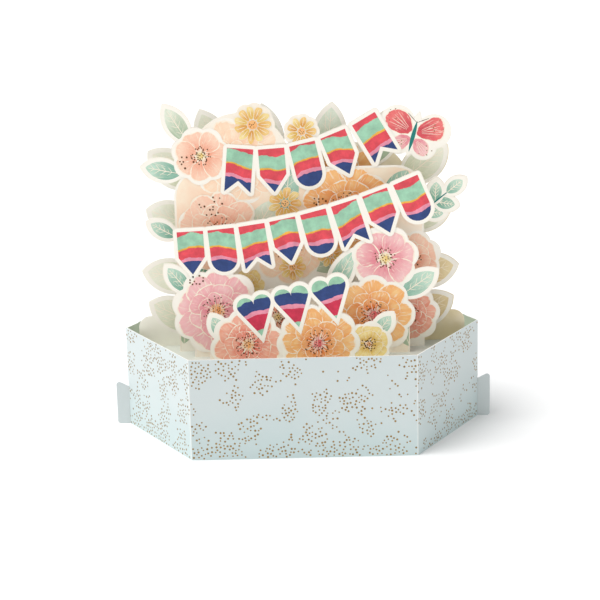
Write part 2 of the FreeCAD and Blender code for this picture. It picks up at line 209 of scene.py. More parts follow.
def wash_group():
    """Watercolour that runs along a petal or leaf: deep at its base, streaked from there, pooled
    near its rim and with a bare line at the rim itself. Along is 0 at the base and 1 at the tip,
    Across is -1 to 1 over the width and Rim is 0 in the middle and 1 at the outline."""
    group, given, result = new_group(
        "watercolour wash",
        [("Light", COLOR, None), ("Middle", COLOR, None), ("Deep", COLOR, None),
         ("Line", COLOR, None), ("Across", NUMBER, 0.0), ("Along", NUMBER, 0.5),
         ("Rim", NUMBER, 0.0), ("Tint", NUMBER, 0.5), ("Place", VECTOR, None)],
        [("Color", COLOR)])
    fan = maths(group, "DIVIDE", given["Across"], maths(group, "ADD", given["Along"], 0.4))
    lane = node(group, "ShaderNodeCombineXYZ", {
        "X": maths(group, "MULTIPLY", fan, 3.4), "Y": maths(group, "MULTIPLY", given["Along"], 1.1),
        "Z": maths(group, "MULTIPLY", given["Tint"], 37.0)}).outputs[0]
    broad = spread(group, noise(group, lane, 1.0, 3.0, 0.6), 0.40, 0.62)
    fine = spread(group, noise(group, lane, 3.3, 2.0, 0.5), 0.57, 0.68)
    pools = noise(group, given["Place"], 150.0, 4.0, 0.6)
    base = spread(group, maths(group, "MULTIPLY_ADD", pools, 0.5, given["Along"]), 0.45, 1.2)
    tone = blend(group, base, given["Deep"], given["Light"])
    tone = blend(group, maths(group, "MULTIPLY", broad, 0.5), tone, given["Middle"])
    pooled = maths(group, "MULTIPLY", spread(group, given["Rim"], 0.62, 0.9), 0.38)
    tone = blend(group, pooled, tone, given["Middle"])
    shift = maths(group, "MULTIPLY_ADD", given["Tint"], 0.85, -0.35)
    tone = blend(group, maths(group, "MAXIMUM", shift, 0.0), tone, given["Deep"])
    tone = blend(group, maths(group, "MAXIMUM", maths(group, "MULTIPLY", shift, -1.0), 0.0),
                 tone, given["Light"])
    dark = spread(group, noise(group, lane, 4.6, 2.0, 0.5), 0.52, 0.66)
    dark = maths(group, "MULTIPLY", dark, spread(group, given["Along"], 0.25, 0.75, 0.75, 0.0))
    tone = blend(group, dark, tone, given["Deep"])
    stroke = maths(group, "MULTIPLY", fine, spread(group, given["Along"], 0.15, 0.5, 0.0, 0.55))
    tone = blend(group, stroke, tone, given["Line"])
    grain = noise(group, given["Place"], 1300.0, 2.0)
    grain = maths(group, "MULTIPLY_ADD", grain, 0.14, 0.93)
    tone = blend(group, 1.0, tone, grey(group, grain), "MULTIPLY")
    wander = maths(group, "SUBTRACT", noise(group, given["Place"], 300.0, 2.0), 0.5)
    outline = spread(group, maths(group, "MULTIPLY_ADD", wander, 0.34, given["Rim"]), 0.91, 0.96)
    group.links.new(blend(group, outline, tone, given["Line"]), result["Color"])
    return group


PAPER_GRAIN = paper_grain_group()
WASH = wash_group()


def use_group(tree, group, **inputs):
    made = tree.nodes.new("ShaderNodeGroup")
    made.node_tree = group
    for name, value in inputs.items():
        if isinstance(value, bpy.types.NodeSocket):
            tree.links.new(value, made.inputs[name])
        else:
            made.inputs[name].default_value = value
    return made


def paper_material(name, colour_of, roughness=0.62, bump=0.25, mottle=0.03):
    """Card whose colour is given by colour_of(tree, place): its grain and sheen are its own."""
    material = bpy.data.materials.new(name)
    material.use_nodes = True
    tree = material.node_tree
    shader = tree.nodes["Principled BSDF"]
    place = node(tree, "ShaderNodeTexCoord").outputs["Object"]
    grain = use_group(tree, PAPER_GRAIN, Place=place, Mottle=mottle)
    shade = grey(tree, grain.outputs["Shade"])
    colour = blend(tree, 1.0, colour_of(tree, place), shade, "MULTIPLY")
    tree.links.new(colour, shader.inputs["Base Color"])
    shader.inputs["Roughness"].default_value = roughness
    shader.inputs["Specular IOR Level"].default_value = 0.32
    relief = node(tree, "ShaderNodeBump", {
        "Strength": bump, "Distance": 0.00006, "Height": grain.outputs["Height"]})
    tree.links.new(relief.outputs[0], shader.inputs["Normal"])
    return material


def facing(tree, axis):
    """The part of the true normal that points along X, Y or Z."""
    normal = node(tree, "ShaderNodeNewGeometry").outputs["True Normal"]
    return node(tree, "ShaderNodeSeparateXYZ", {0: normal}).outputs[axis]


def printed_face(tree, print_colour, back_colour=PAPER_WHITE, edge_colour=PAPER_WHITE):
    """Print on the face towards the reader, plain paper behind and white at the cut edges."""
    forward = maths(tree, "MULTIPLY", facing(tree, "Y"), -1.0)
    front = maths(tree, "GREATER_THAN", forward, 0.5)
    back = maths(tree, "LESS_THAN", forward, -0.5)
    colour = blend(tree, front, rgb(tree, edge_colour), print_colour)
    return blend(tree, back, colour, rgb(tree, back_colour))


def wash_material(name, tones):
    """Watercolour print on a petal or leaf plate, along the plate's own map."""
    def colour_of(tree, place):
        across_along = node(tree, "ShaderNodeUVMap", uv_map="print").outputs[0]
        split = node(tree, "ShaderNodeSeparateXYZ", {0: across_along}).outputs
        tint = node(tree, "ShaderNodeAttribute", attribute_name="tint").outputs["Fac"]
        rim = node(tree, "ShaderNodeAttribute", attribute_name="rim").outputs["Fac"]
        light, middle, deep = tones
        return use_group(tree, WASH, Light=light, Middle=middle, Deep=deep, Line=BARE_LINE,
                         Across=split["X"], Along=split["Y"], Rim=rim, Tint=tint,
                         Place=place).outputs[0]
    return paper_material(name, colour_of)


def banded_material(name, bands):
    """Waves of colour that run through a whole row of cut shapes. X of the map counts shapes
    along the row and Y runs from 0 at the top to 1 at the bottom."""
    def colour_of(tree, place):
        row = node(tree, "ShaderNodeUVMap", uv_map="print").outputs[0]
        split = node(tree, "ShaderNodeSeparateXYZ", {0: row}).outputs
        swell = maths(tree, "SINE", maths(tree, "MULTIPLY_ADD", split["X"], 2.3, 0.8))
        ripple = maths(tree, "SINE", maths(tree, "MULTIPLY_ADD", split["X"], 5.9, 2.1))
        wave = maths(tree, "MULTIPLY_ADD", ripple, 0.35, swell)
        torn = maths(tree, "SUBTRACT", noise(tree, place, 170.0, 3.0), 0.5)
        level = maths(tree, "MULTIPLY_ADD", wave, 0.07, split["Y"])
        level = maths(tree, "MULTIPLY_ADD", torn, 0.13, level)
        ramp = tree.nodes.new("ShaderNodeValToRGB")
        ramp.color_ramp.interpolation = "CONSTANT"
        stops = ramp.color_ramp.elements
        for index, (position, colour) in enumerate(bands):
            stop = stops[index] if index < 2 else stops.new(position)
            stop.position = position
            stop.color = colour
        tree.links.new(level, ramp.inputs[0])
        cloud = spread(tree, noise(tree, place, 210.0, 4.0, 0.65), 0.25, 0.8, 0.80, 1.16)
        return blend(tree, 1.0, ramp.outputs[0], grey(tree, cloud), "MULTIPLY")
    return paper_material(name, colour_of)


def foil_material(name, colour):
    material = bpy.data.materials.new(name)
    material.use_nodes = True
    tree = material.node_tree
    shader = tree.nodes["Principled BSDF"]
    place = node(tree, "ShaderNodeTexCoord").outputs["Object"]
    wear = noise(tree, place, 700.0, 2.0)
    darker = tuple(0.72 * value for value in colour[:3]) + (1.0,)
    tone = blend(tree, spread(tree, wear, 0.35, 0.7), colour, darker)
    tree.links.new(tone, shader.inputs["Base Color"])
    shader.inputs["Metallic"].default_value = 0.75
    rough = spread(tree, noise(tree, place, 1500.0), 0.3, 0.7, 0.34, 0.5)
    tree.links.new(rough, shader.inputs["Roughness"])
    return material


def sleeve_material(half_panel, wall_height):
    """Pale blue card, darker and a little more aqua towards its foot as a painted teal reflection. Its
    inside is sage, its cut edges are white, and a painted highlight runs as a paler line along the folds."""
    def colour_of(tree, place):
        split = node(tree, "ShaderNodeSeparateXYZ", {0: place}).outputs
        cloud = noise(tree, place, 26.0, 4.0, 0.6)
        # Painted reflection: the card turns darker and more aqua towards its foot, as if teal light
        # bounced onto it.
        height = maths(tree, "DIVIDE", split["Z"], wall_height)
        level = maths(tree, "MULTIPLY_ADD", cloud, 0.9, height)
        wash = spread(tree, level, 0.3, 1.2)
        outside_with_painted_reflection = blend(tree, wash, rgb(tree, paint(195, 211, 211)), rgb(tree, paint(207, 216, 216)))
        normal = node(tree, "ShaderNodeNewGeometry").outputs["True Normal"]
        flat_place = node(tree, "ShaderNodeVectorMath", {0: place, 1: (1.0, 1.0, 0.0)},
                          operation="MULTIPLY").outputs[0]
        outward = node(tree, "ShaderNodeVectorMath", {0: normal, 1: flat_place},
                       operation="DOT_PRODUCT").outputs["Value"]
        sage = blend(tree, cloud, rgb(tree, paint(184, 197, 174)), rgb(tree, paint(198, 207, 188)))
        colour = blend(tree, maths(tree, "GREATER_THAN", outward, 0.0), sage, outside_with_painted_reflection)
        # Painted highlight: a paler line along each fold, where light catches the bend.
        fold = maths(tree, "ABSOLUTE", maths(tree, "SUBTRACT", maths(
            tree, "ABSOLUTE", split["X"]), half_panel))
        fold_highlight = maths(tree, "MULTIPLY", spread(tree, fold, 0.0, 0.0005, 1.0, 0.0), 0.55)
        colour = blend(tree, fold_highlight, colour, rgb(tree, PAPER_WHITE))
        edge = maths(tree, "GREATER_THAN", maths(tree, "ABSOLUTE", facing(tree, "Z")), 0.5)
        return blend(tree, edge, colour, rgb(tree, PAPER_WHITE))
    return paper_material("sleeve card", colour_of, roughness=0.55, mottle=0.02)


def clouds(tree, place, first, second):
    cloud = spread(tree, noise(tree, place, 34.0, 4.0, 0.6), 0.35, 0.65)
    return blend(tree, cloud, rgb(tree, first), rgb(tree, second))


# Below PEACH_FROM the ground turns cream: painted light against the shade of the sheet in front.
PEACH_FROM, PEACH_FULL = 0.088, 0.122     # heights above the floor, in metres


def ground_with_painted_light_at_foot(tree, place):
    """Ground that runs from cream at its foot to peach behind the upper row of flags. The cream foot is
    painted light: it is lightened to offset the shade that the sheet in front casts there.
    """
    height = node(tree, "ShaderNodeSeparateXYZ", {0: place}).outputs["Z"]
    # Painted light: the cream foot lightens the ground where the sheet in front shades it.
    low = clouds(tree, place, paint(254, 251, 242), paint(253, 246, 232))
    high = clouds(tree, place, paint(253, 238, 214), paint(252, 218, 190))
    return blend(tree, spread(tree, height, PEACH_FROM, PEACH_FULL), low, high)


def sheet_material(name, first, second):
    """Cream card under the print: two faint washes that run into each other."""
    return paper_material(name, lambda tree, place: printed_face(tree, clouds(tree, place, first, second)))


FINISHES = {name: wash_material(f"{name} wash", tones) for name, tones in WASHES.items()}
FINISHES["cream"] = paper_material("cream border", plain(CREAM))
FINISHES["teal"] = paper_material("teal ink", plain(TEAL))
FINISHES["line"] = paper_material("cream line", plain(BARE_LINE))
FINISHES["pale ground"] = paper_material("pale ground wash", lambda tree, place: clouds(
    tree, place, paint(253, 247, 232), paint(251, 236, 214)))
# This ground's foot is lightened as painted light against the shade of the sheet in front.
FINISHES["peach ground"] = paper_material("peach ground wash with painted light at foot", ground_with_painted_light_at_foot)
FINISHES["foil"] = foil_material("gold foil", paint(157, 129, 78))
FINISHES["brown foil"] = foil_material("brown foil", paint(112, 72, 42))
FINISHES["garland"] = banded_material("garland bands", [
    (0.0, CORAL), (0.10, MINT), (0.40, AMBER), (0.44, CORAL), (0.66, PINK), (0.74, NAVY)])
FINISHES["hearts"] = banded_material("heart bands", [
    (0.0, MINT), (0.16, NAVY), (0.44, PINK), (0.54, CRIMSON), (0.90, MINT)])


# Objects


def mesh_data(name, mesh):
    """The mesh that was built up, which isn't needed after this."""
    data = bpy.data.meshes.new(name)
    mesh.to_mesh(data)
    mesh.free()
    return data


def placed(name, data):
    """A new object in the scene."""
    made = bpy.data.objects.new(name, data)
    bpy.context.scene.collection.objects.link(made)
    return made


# Flat outlines, in millimetres, as the reader sees them


def moved(points, x, z, turn):
    """Points turned anticlockwise by degrees and moved to x, z."""
    cosine, sine = math.cos(math.radians(turn)), math.sin(math.radians(turn))
    return [(x + u * cosine - w * sine, z + u * sine + w * cosine) for u, w in points]


def round_outline(radius, sides=24, x=0.0, z=0.0):
    return [(x + radius * math.cos(math.tau * i / sides), z + radius * math.sin(math.tau * i / sides))
            for i in range(sides)]


def petal_outline(length, width, notch=0.0, waver=0.0, sides=28):
    """Petal from its base at 0, 0 along +X: narrow at its base, round or notched at its tip.
    waver, in turns, changes where its sides swell a little."""
    outline = []
    for i in range(sides):
        turn = math.tau * i / sides
        swell = 1 + 0.045 * math.sin(3 * turn + math.tau * waver)
        across = -width / 2 * math.sin(turn) * (1 - 0.28 * math.cos(turn)) * swell
        along = length * (1 - math.cos(turn)) / 2 * swell
        along -= notch * length * math.exp(-((turn - math.pi) / 0.3) ** 2)
        outline.append((along, across))
    return outline


def leaf_outline(length, width, steps=18):
    """Pointed leaf of two arcs, from its base at 0, 0 along +X."""
    half, bulge = length / 2, width / 2
    radius = (half ** 2 + bulge ** 2) / (2 * bulge)
    side = []
    for i in range(1, steps):
        along = half * (2 * i / steps - 1)
        side.append((half + along, math.sqrt(radius ** 2 - along ** 2) - (radius - bulge)))
    return [(0, 0)] + [(u, -w) for u, w in side] + [(length, 0)] + side[::-1]


def scallop_outline(radius, petals, overlap, turn, border, steps=8):
    """The outline of a ring of round petals, grown by a border: the far side of each circle."""
    share = overlap * math.sin(math.pi / petals)
    petal = radius * share / (1 + share)
    reach, grown = radius - petal, petal + border
    outline = []
    for i in range(petals * steps):
        angle = math.tau * i / (petals * steps)
        best = reach
        for number in range(petals):
            off = angle - math.radians(turn) - math.tau * number / petals
            side = reach * math.sin(off)
            if abs(side) < grown and math.cos(off) > 0:
                best = max(best, reach * math.cos(off) + math.sqrt(grown ** 2 - side ** 2))
        outline.append((best * math.cos(angle), best * math.sin(angle)))
    return outline


def grown_outline(points, border, steps=4):
    """An anticlockwise outline grown all round: arcs at its outer corners, mitres at inner ones."""
    outline, count = [], len(points)
    for i, (x, z) in enumerate(points):
        before, after = points[i - 1], points[(i + 1) % count]
        start = math.atan2(z - before[1], x - before[0]) - math.pi / 2
        end = math.atan2(after[1] - z, after[0] - x) - math.pi / 2
        swing = (end - start + math.pi) % math.tau - math.pi
        if swing > 0.05:
            for step in range(steps + 1):
                angle = start + swing * step / steps
                outline.append((x + border * math.cos(angle), z + border * math.sin(angle)))
        else:
            middle = start + swing / 2
            reach = border / max(math.cos(swing / 2), 0.3)
            outline.append((x + reach * math.cos(middle), z + reach * math.sin(middle)))
    return outline


def clipped(points, axis, level, side):
    """The part of an outline on one side, 1 or -1, of a level along an axis."""
    kept = []
    for here, after in zip(points, points[1:] + points[:1]):
        within, then = side * (here[axis] - level) >= 0, side * (after[axis] - level) >= 0
        if within:
            kept.append(here)
        if within != then:
            share = (level - here[axis]) / (after[axis] - here[axis])
            kept.append(tuple(a + share * (b - a) for a, b in zip(here, after)))
    return kept


def ring_level(number, count):
    """Which of three layers a petal takes, so that no two neighbours share one."""
    return 2 if count % 2 and number == count - 1 else number % 2


class Print:
    """Thin printed plates on the front of one die-cut sheet. Each plate lies on a numbered
    layer, and a plate on a higher layer covers those below it."""

    def __init__(self, sheet, seed):
        self.sheet = sheet
        self.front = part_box(sheet)[0].y
        self.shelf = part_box("shelf")[1].z
        self.random = random.Random(seed)
        self.mesh = bmesh.new()
        self.map = self.mesh.loops.layers.uv.new("print")
        self.tint = self.mesh.verts.layers.float.new("tint")
        self.rim = self.mesh.verts.layers.float.new("rim")
        self.finishes = []
        self.limits = [(1, SHELF_CLEAR, 1)]

    def within(self, half_width=None, top=None):
        """Trims what follows to the sheet's flat backing, or no longer where none is given."""
        self.limits = [(1, SHELF_CLEAR, 1)]
        if half_width:
            self.limits += [(0, -half_width, 1), (0, half_width, -1), (1, top, -1)]

    def plate(self, points, finish, layer, mapped=None, tint=0.5, rimmed=False):
        """A closed plate. mapped gives the print map at a place: across and along. A rimmed
        plate carries how near each place is to its outline."""
        for limit in self.limits:
            points = clipped(points, *limit)
        if len(points) < 3:
            return
        if finish not in self.finishes:
            self.finishes.append(finish)
        near = self.front - (layer + 1) * LAYER * MM
        rings = [[self.mesh.verts.new((x * MM, depth, self.shelf + z * MM)) for x, z in points]
                 for depth in (near, near + PLATE_SHARE * LAYER * MM)]
        count = len(points)
        faces = [self.mesh.faces.new(rings[1][::-1])]
        if rimmed:
            x, z = (sum(values) / count for values in zip(*points))
            middle = self.mesh.verts.new((x * MM, near, self.shelf + z * MM))
            middle[self.tint] = tint
            faces += [self.mesh.faces.new((middle, rings[0][i - 1], rings[0][i]))
                      for i in range(count)]
        else:
            faces.append(self.mesh.faces.new(rings[0]))
        for vertex in rings[0] + rings[1]:
            vertex[self.tint] = tint
            vertex[self.rim] = float(rimmed)
        faces += [self.mesh.faces.new((rings[0][i], rings[0][i - 1], rings[1][i - 1], rings[1][i]))
                  for i in range(count)]
        for face in faces:
            face.material_index = self.finishes.index(finish)
            for loop in face.loops:
                x, z = loop.vert.co.x / MM, (loop.vert.co.z - self.shelf) / MM
                loop[self.map].uv = mapped(x, z) if mapped else (x / 20, z / 20)

    def along(self, x, z, turn, length, width, start=0.0):
        """Map of a petal or leaf: -1 to 1 across and, from start at its base, to 1 along."""
        cosine, sine = math.cos(math.radians(turn)), math.sin(math.radians(turn))

        def mapped(px, pz):
            u = (px - x) * cosine + (pz - z) * sine
            w = -(px - x) * sine + (pz - z) * cosine
            return 2 * w / width, start + (1 - start) * u / length
        return mapped

    def petal(self, x, z, turn, length, width, finish, layer, notch=0.0, start=0.0, depth=0.25):
        """Washed petal. It is lighter or deeper than depth, from 0 to 1, by up to a quarter."""
        shape = moved(petal_outline(length, width, notch, self.random.random()), x, z, turn)
        tint = depth + self.random.uniform(-0.25, 0.25)
        self.plate(shape, finish, layer, self.along(x, z, turn, length, width, start), tint,
                   rimmed=True)

    def ring(self, x, z, radius, inner, petals, finish, layer, turn, start, notch=0.0, depth=0.25):
        """Petals round a middle, on three layers, so that each overlaps its neighbour."""
        length = radius - inner
        width = 2.5 * (radius - 0.3 * length) * math.sin(math.pi / petals)
        for i in range(petals):
            angle = turn + 360 * i / petals + self.random.uniform(-3, 3)
            reach = length * self.random.uniform(0.95, 1.02)
            root = moved([(inner, 0)], x, z, angle)[0]
            self.petal(*root, angle, reach, width * self.random.uniform(0.94, 1.08), finish,
                       layer + ring_level(i, petals), notch, start, depth)

    def stroke(self, x, z, turn, length, width, finish, layer):
        """A thin line with tapered ends."""
        shape = [(0, -width / 4), (0.5 * length, -width / 2), (length, -width / 4),
                 (length, width / 4), (0.5 * length, width / 2), (0, width / 4)]
        self.plate(moved(shape, x, z, turn), finish, layer)

    def dots(self, x, z, reach, count, finish, layer, radius=0.48):
        """A loose spray of foil dots that keep apart from each other."""
        placed = []
        for _ in range(count * 6):
            angle = self.random.uniform(0, math.tau)
            away = reach * math.sqrt(self.random.random())
            spot = (x + away * math.cos(angle), z + away * math.sin(angle))
            if all(math.dist(spot, other) > 2.6 * radius for other in placed):
                placed.append(spot)
            if len(placed) == count:
                break
        for spot_x, spot_z in placed:
            self.plate(round_outline(radius * self.random.uniform(0.75, 1.1), 9, spot_x, spot_z),
                       finish, layer)

    def backing(self, points, layer):
        self.plate(points, "cream", layer)

    def ground(self, width, top, corner, middle=0.0, finish="pale ground"):
        """Faint wash over the sheet's flat backing, inside its bare border."""
        left, right = middle - width / 2 + corner, middle + width / 2 - corner
        corners = [(right, -corner), (right, top - corner), (left, top - corner), (left, -corner)]
        self.plate(grown_outline(corners, corner - CUT_BORDER / 2, 6), finish, 0)

    def bloom(self, x, z, radius, petals, finish, layer, turn=0.0, border=CUT_BORDER - 0.15,
              heart="yellow", rings=3):
        """Open flower: a cream border, rings of petals, a middle and its stamens. It takes
        thirteen layers with three rings."""
        self.backing([(x + u, z + w) for u, w in scallop_outline(radius, petals, 1.35, turn, border)],
                     layer)
        self.ring(x, z, radius, 0.16 * radius, petals, finish, layer + 1, turn, 0.12, notch=0.03)
        if rings > 1:
            self.ring(x, z, 0.7 * radius, 0.1 * radius, petals - 1, finish, layer + 4, turn + 21,
                      0.06, depth=0.5)
        if rings > 2:
            self.ring(x, z, 0.46 * radius, 0.06 * radius, max(petals - 2, 5), finish, layer + 7,
                      turn + 47, 0.0, depth=0.75)
        top = layer + 1 + 3 * rings
        middle = 0.18 * radius
        self.plate(round_outline(middle, 18, x, z), heart, top,
                   lambda px, pz: ((px - x) / middle, math.dist((px, pz), (x, z)) / middle), 0.8)
        stamens = int(14 + 1.5 * radius)
        for i in range(stamens):
            angle = turn + 360 * i / stamens + self.random.uniform(-7, 7)
            start_x, start_z = moved([(0.6 * middle, 0)], x, z, angle)[0]
            reach = self.random.uniform(0.05, 0.27) * radius
            self.stroke(start_x, start_z, angle, reach, 0.3, "line", top + 1)
            tip_x, tip_z = moved([(0.6 * middle + reach, 0)], x, z, angle)[0]
            self.plate(round_outline(0.36, 8, tip_x, tip_z), "brown foil", top + 2)
        self.dots(x, z, 0.7 * middle, int(3 + radius / 3), "brown foil", top + 2, 0.34)

    def daisy(self, x, z, radius, petals, layer, turn=0.0):
        """Flower of slim yellow and ochre petals, each with a bare line, round an orange middle."""
        for i in range(petals):
            angle = turn + 360 * i / petals
            root = moved([(0.26 * radius, 0)], x, z, angle)[0]
            width = 1.3 * radius * math.sin(math.pi / petals)
            self.petal(*root, angle, 0.74 * radius, width, "yellow" if i % 2 else "ochre",
                       layer + ring_level(i, petals))
            self.stroke(*moved([(0.15 * radius, 0)], *root, angle)[0], angle, 0.45 * radius, 0.3,
                        "line", layer + 3)
        self.plate(round_outline(0.24 * radius, 14, x, z), "orange", layer + 4)
        self.dots(x, z, 0.18 * radius, 6, "brown foil", layer + 5, 0.3)

    def leaf(self, x, z, length, width, turn, finish, layer, border=CUT_BORDER - 0.3):
        """Washed leaf with a cream border, side veins and a midrib, on four layers."""
        if border:
            shape = leaf_outline(length + 2.5 * border, width + 2 * border)
            start_x, start_z = moved([(-border, 0)], x, z, turn)[0]
            self.backing(moved(shape, start_x, start_z, turn), layer)
        shape = leaf_outline(length, width)
        self.plate(moved(shape, x, z, turn), finish, layer + 1,
                   self.along(x, z, turn, length, width), self.random.random())
        self.stroke(x, z, turn, 0.92 * length, 0.42, "line", layer + 3)
        for share in (0.25, 0.42, 0.59, 0.76):
            base_x, base_z = moved([(length * share, 0)], x, z, turn)[0]
            vein = 2 * width * share * (1 - share) * (1 - 0.35 * share)
            for side in (-1, 1):
                self.stroke(base_x, base_z, turn + side * 42, vein, 0.26, "line", layer + 2)

    def sprig(self, x, z, length, turn, pairs, leaf_length, leaf_width, finish, layer,
              spread_angle=48, border=CUT_BORDER - 0.3):
        """Stem with pairs of small leaves and one at its end, each leaf over the last."""
        places = [(length * i / (pairs + 1), side * spread_angle)
                  for i in range(1, pairs + 1) for side in (-1, 1)] + [(length, 0)]
        for number, (share, lean) in enumerate(places):
            root = moved([(share, 0)], x, z, turn)[0]
            self.leaf(*root, leaf_length, leaf_width, turn + lean, finish, layer + 4 * number, border)
        self.stroke(x, z, turn, length, 0.9, "teal", layer + 4 * len(places))

    def finish(self, name):
        """One object of all the plates, riding with the card."""
        piece = placed(name, mesh_data(name, self.mesh))
        for finish in self.finishes:
            piece.data.materials.append(FINISHES[finish])
        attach(piece, "root")


# Rows of cut shapes

FLAG_WIDTH, FLAG_HEIGHT, FLAG_PITCH, FLAG_SAG = 13.0, 22.0, 15.6, 5.0
HEART_WIDTH, HEART_HEIGHT, HEART_PITCH = 17.0, 21.0, 19.0
ROW_SLOPE = 12.5


def flag_outline(kind):
    """Bunting flag that hangs from 0, 0: pointed, notched or round. Anticlockwise."""
    half, drop = FLAG_WIDTH / 2, FLAG_HEIGHT
    if kind == "pointed":
        return [(half, 0), (-half, 0), (-half, -0.6 * drop), (0, -drop), (half, -0.6 * drop)]
    if kind == "notched":
        return [(half, 0), (-half, 0), (-half, -drop), (0, -0.74 * drop), (half, -drop)]
    low = [(half * math.cos(angle), half - drop + half * math.sin(angle))
           for angle in (math.pi + math.pi * i / 12 for i in range(13))]
    return [(half, 0), (-half, 0)] + low


def flag_row(paper, x, z, kinds, finish, layer, phase):
    """A garland of flags that rises to the right and sags in its middle."""
    slope, last = math.radians(ROW_SLOPE), len(kinds) - 1
    for i, kind in enumerate(kinds):
        share = i / last
        drop = 4 * FLAG_SAG * share * (1 - share)
        along = FLAG_PITCH * (i - last / 2)
        lean = math.degrees(math.atan(4 * FLAG_SAG * (2 * share - 1) / (FLAG_PITCH * last)))
        spot = (x + along * math.cos(slope), z + along * math.sin(slope) - drop)
        turn = ROW_SLOPE + lean
        shape = flag_outline(kind)
        backing = grown_outline(shape, CUT_BORDER - 0.1)
        paper.backing(moved(backing, *spot, turn), layer + 2 * (i % 2))

        def mapped(px, pz, number=i, place=spot, angle=turn):
            u, w = moved([(px - place[0], pz - place[1])], 0, 0, -angle)[0]
            return number + phase + u / FLAG_PITCH, -w / FLAG_HEIGHT
        paper.plate(moved(shape, *spot, turn), finish, layer + 5, mapped)


def heart_outline(wide, high, border=0.0, steps=12):
    """Heart of two round lobes and straight sides, from the middle between its lobes."""
    lobe = wide / 4
    depth = high - lobe
    half_angle = math.atan2(lobe, depth) + math.asin(lobe / math.hypot(lobe, depth))
    dip = math.acos(lobe / (lobe + border)) if border else 0.0
    start, end = -half_angle, math.pi - dip
    right = []
    for i in range(steps + 1):
        angle = start + (end - start) * i / steps
        right.append((lobe + (lobe + border) * math.cos(angle), (lobe + border) * math.sin(angle)))
    left = [(-u, w) for u, w in reversed(right)]
    return [(0, -depth - border / math.sin(half_angle))] + right + left[1:]


def heart_row(paper, x, z, count, finish, layer):
    """Hearts in a row that rises to the right."""
    for i in range(count):
        along = HEART_PITCH * (i - (count - 1) / 2)
        spot = moved([(along, 0)], x, z, ROW_SLOPE)[0]
        backing = heart_outline(HEART_WIDTH, HEART_HEIGHT, CUT_BORDER - 0.1)
        paper.backing(moved(backing, *spot, ROW_SLOPE), layer + i % 2)

        def mapped(px, pz, number=i, place=spot):
            u, w = moved([(px - place[0], pz - place[1])], 0, 0, -ROW_SLOPE)[0]
            return number + u / HEART_PITCH, (HEART_WIDTH / 4 - w) / HEART_HEIGHT
        paper.plate(moved(heart_outline(HEART_WIDTH, HEART_HEIGHT), *spot, ROW_SLOPE), finish,
                    layer + 3, mapped)


def butterfly(paper, x, z, span, turn, layer):
    """Coral and pink wings with fine veins on a slim teal body with two feelers."""
    border = CUT_BORDER - 0.15
    large, small = 0.21 * span, 0.15 * span
    for side in (-1, 1):
        upper = moved([(side * (0.5 * span - large), 0.13 * span)], x, z, turn)[0]
        lower = moved([(side * 1.3 * small, -0.14 * span)], x, z, turn)[0]
        paper.backing(round_outline(large + border, 32, *upper), layer)
        paper.backing(round_outline(small + border, 28, *lower), layer + (1 if side < 0 else 2))
    base = moved([(-0.3 * span - border, 0)], 0, 0, turn + 90)[0]
    paper.backing(moved(leaf_outline(0.6 * span + 2.5 * border, 0.1 * span + 2 * border),
                        x + base[0], z + base[1], turn + 90), layer + 3)
    for side in (-1, 1):
        for reach, lean, wide, finish, height in (
                (0.47 * span, 26, 0.36 * span, "berry", 0.04),
                (0.31 * span, -38, 0.24 * span, "pink", -0.05)):
            root = moved([(side * 0.03 * span, height * span)], x, z, turn)[0]
            angle = turn + (lean if side > 0 else 180 - lean)
            paper.petal(*root, angle, reach, wide, finish, layer + 4)
            for fan in (-15, -5, 5, 15):
                vein = moved([(0.2 * reach, 0)], *root, angle + fan)[0]
                paper.stroke(*vein, angle + fan, 0.62 * reach, 0.24, "line", layer + 6)
            tip = moved([(0.82 * reach, 0)], *root, angle)[0]
            paper.dots(*tip, 0.12 * span, 5, "foil", layer + 7, 0.3)
    tail = moved([(0, -0.27 * span)], x, z, turn)[0]
    paper.plate(moved(leaf_outline(0.5 * span, 0.062 * span), *tail, turn + 90), "teal", layer + 8)
    crown = moved([(0, 0.2 * span)], x, z, turn)[0]
    for side in (-1, 1):
        paper.stroke(*crown, turn + 90 + side * 56, 0.2 * span, 0.3, "brown foil", layer + 7)


# The four sheets, from the front one to the back one


def print_front():
    paper = Print("sheet_front", 11)
    paper.ground(88, 11, 6, middle=-2)
    paper.leaf(36, 12, 13, 7, 52, "mint", 1)
    paper.leaf(-38, 12, 13, 7, 118, "mint", 1)
    paper.bloom(33, 8, 10, 6, "yellow", 5, turn=15, heart="orange", rings=2)
    paper.bloom(-27, 9, 17, 8, "coral", 5, turn=10, heart="orange")
    paper.bloom(8, 9, 19, 10, "orange", 18, heart="berry")
    heart_row(paper, -5, 34, 3, "hearts", 31)
    paper.finish("front_print")


def print_second():
    paper = Print("sheet_second", 23)
    paper.ground(108, 30, 12)
    paper.within(53.4, 29.4)
    paper.leaf(-22, 4, 24, 11, 60, "sage", 1, border=0)
    paper.leaf(4, 2, 26, 12, 110, "mint", 1, border=0)
    paper.leaf(54, 3, 24, 11, 110, "sage", 1, border=0)
    paper.within()
    paper.leaf(50, 30, 20, 10, 35, "mint", 1)
    paper.leaf(-56, 34, 16, 8, 128, "mint", 1)
    paper.leaf(14, 30, 26, 9, 62, "mint", 1)
    paper.bloom(-12, 20, 13, 7, "peach", 5, rings=2)
    paper.bloom(42, 49, 15, 7, "pink", 5, turn=12, heart="yellow", rings=1)
    paper.bloom(36, 20, 19, 8, "orange", 18, heart="berry")
    paper.bloom(-42, 24, 21, 9, "pink", 18, turn=5, heart="orange")
    kinds = ["pointed", "round", "notched", "pointed", "round", "notched", "pointed", "round"]
    flag_row(paper, -1, 77, kinds, "garland", 31, 0.0)
    paper.dots(12, 23, 5.5, 14, "brown foil", 31)
    paper.dots(-52, 40, 4, 10, "brown foil", 31)
    paper.finish("second_print")


